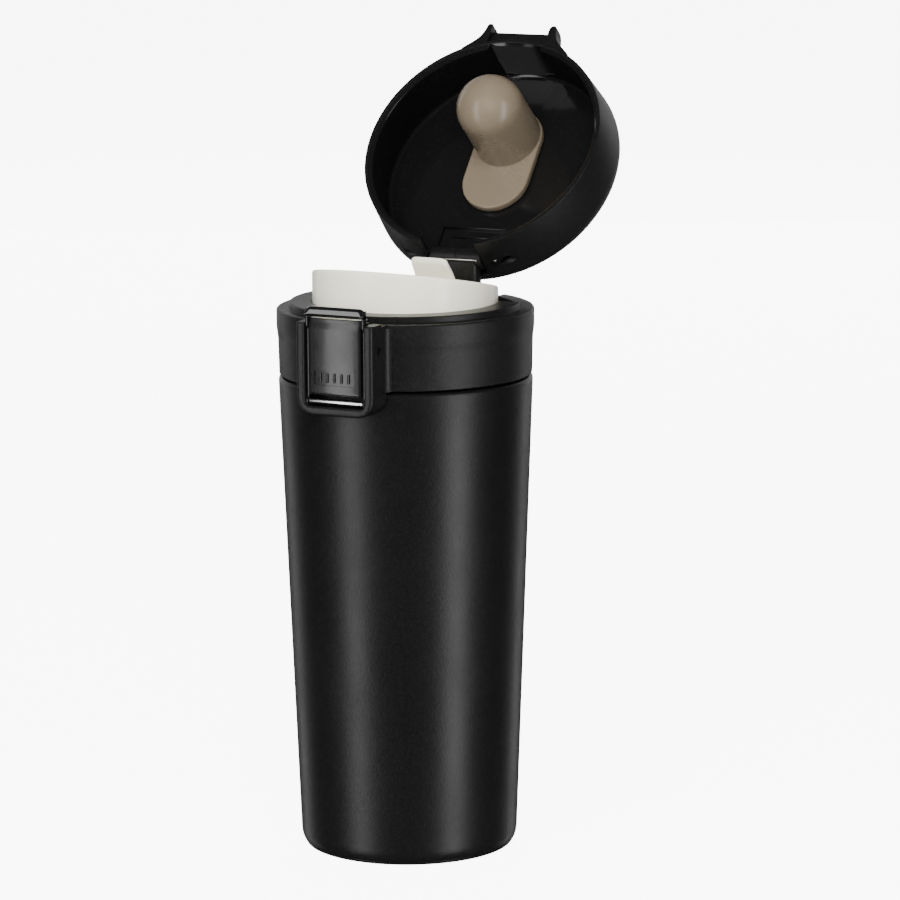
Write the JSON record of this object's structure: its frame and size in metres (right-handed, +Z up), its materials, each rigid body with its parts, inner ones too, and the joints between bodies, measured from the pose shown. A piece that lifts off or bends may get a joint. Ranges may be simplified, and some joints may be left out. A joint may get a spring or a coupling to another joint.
{
  "type": "vacuum flask",
  "caption": "Tapered vacuum-insulated travel flask with a screw-on lid, raised drinking spout and a spring-hinged flip cap with push latch and lock bail.",
  "frame": {"origin": "centre of the base, on the surface that the flask stands on", "axes": "+Z up along the flask's axis; the latch and push pad face -Y, the cap's hinge is at +Y, +X to the right seen from the latch"},
  "size_m": [0.075, 0.1284, 0.2285],
  "materials": {
    "powder_coat": "matt fine-grained black powder coat",
    "liner_steel": "electropolished stainless steel",
    "base_steel": "pressed stainless steel",
    "getter_alloy": "sintered pellet",
    "seal_solder": "melted solder bead",
    "base_plastic": "matt black moulding",
    "gasket_silicone": "translucent white silicone",
    "collar_plastic": "satin black moulding",
    "lid_plastic": "plain black moulding",
    "ivory_plastic": "glossy ivory moulding",
    "pin_steel": "bright drawn steel",
    "spring_wire": "spring steel wire",
    "cap_plastic": "satin black moulding, fine spark texture",
    "gloss_liner": "polished black moulding",
    "taupe_silicone": "satin taupe silicone",
    "core_plastic": "plain black moulding",
    "pad_plastic": "polished black moulding",
    "bail_plastic": "polished black moulding"
  },
  "bodies": {
    "flask": {"outer_shell": "powder_coat", "inner_liner": "liner_steel", "vacuum_base": "base_steel", "getter_pellet": "getter_alloy", "vacuum_seal_bead": "seal_solder", "base_cover": "base_plastic"},
    "lid_seal": {"mouth_gasket": "gasket_silicone"},
    "lid": {"collar": "collar_plastic", "lid_body": "lid_plastic", "spout": "ivory_plastic", "spout_gasket": "gasket_silicone", "hinge_pin": "pin_steel", "button_pin": "pin_steel", "lock_pin": "pin_steel", "hinge_spring": "spring_wire", "button_spring": "spring_wire"},
    "cap": {"cap_shell": "cap_plastic", "cap_liner": "gloss_liner", "stopper": "taupe_silicone", "stopper_core": "core_plastic"},
    "button": {"push_button": "pad_plastic"},
    "lock": {"lock_bail": "bail_plastic"}
  },
  "joints": [
    {"name": "lid_lift", "type": "slide", "parent": "flask", "child": "lid_seal", "axis": [0, 0, 1], "range_m": [0, 0.00841]},
    {"name": "lid_turn", "type": "hinge", "parent": "lid_seal", "child": "lid", "pos_m": [0, 0, 0], "axis": [0, 0, 1], "range_deg": [0, 756]},
    {"name": "cap_hinge", "type": "hinge", "parent": "lid", "child": "cap", "pos_m": [0, 0.0339, 0.1649], "axis": [-1, 0, 0], "range_deg": [-130, 0], "stiffness_Nm_per_rad": 0.0097, "springref_deg": 45.84},
    {"name": "button_press", "type": "hinge", "parent": "lid", "child": "button", "pos_m": [0, -0.0389, 0.1487], "axis": [1, 0, 0], "range_deg": [0, 4.5], "stiffness_Nm_per_rad": 0.1, "springref_deg": -5.73},
    {"name": "lock_flip", "type": "hinge", "parent": "lid", "child": "lock", "pos_m": [0, -0.0414, 0.1341], "axis": [1, 0, 0], "range_deg": [0, 80]}
  ],
  "couplings": [
    {"joint": "lid_lift", "follows": "lid_turn", "m_per_rad": 0.00063662}
  ]
}
